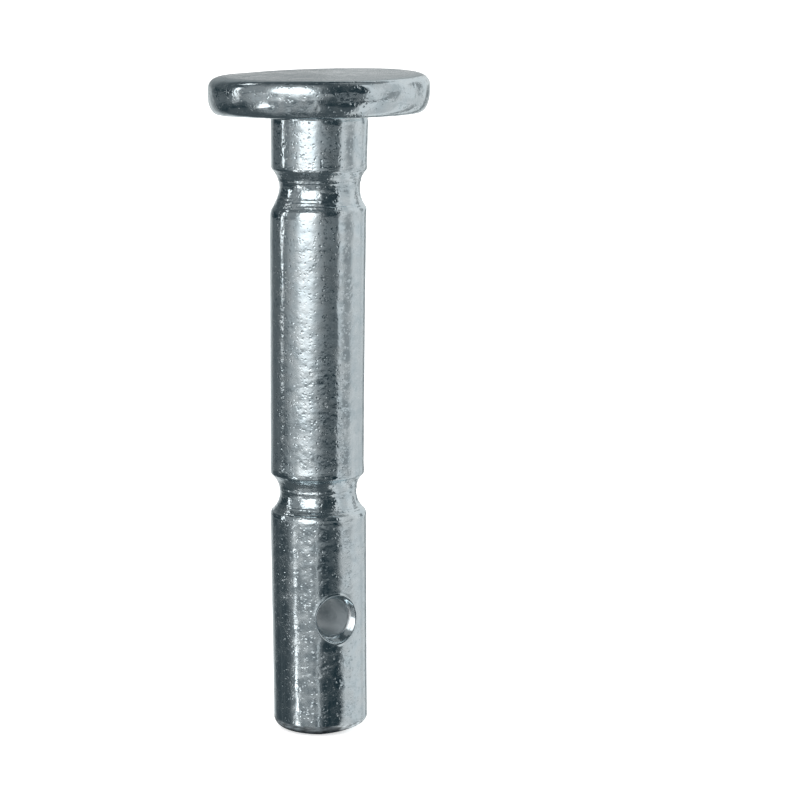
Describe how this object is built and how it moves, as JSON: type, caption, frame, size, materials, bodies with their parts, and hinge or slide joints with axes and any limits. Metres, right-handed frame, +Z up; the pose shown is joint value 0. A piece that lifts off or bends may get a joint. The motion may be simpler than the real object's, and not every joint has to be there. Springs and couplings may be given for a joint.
{
  "type": "shear pin",
  "caption": "Straight shear pin with a flat round head, ring grooves that set where it shears, and a cross hole near the tip for a cotter pin.",
  "frame": {"origin": "centre of the flat tip, where the pin stands upright", "axes": "+Z up the shank to the head, +Y along the cross hole for the cotter pin"},
  "size_m": [0.0148, 0.0146, 0.0444],
  "materials": {
    "zinc_plated_steel": "bright zinc plate with a faint blue cast"
  },
  "bodies": {
    "root": {"shear_pin": "zinc_plated_steel"}
  },
  "joints": []
}
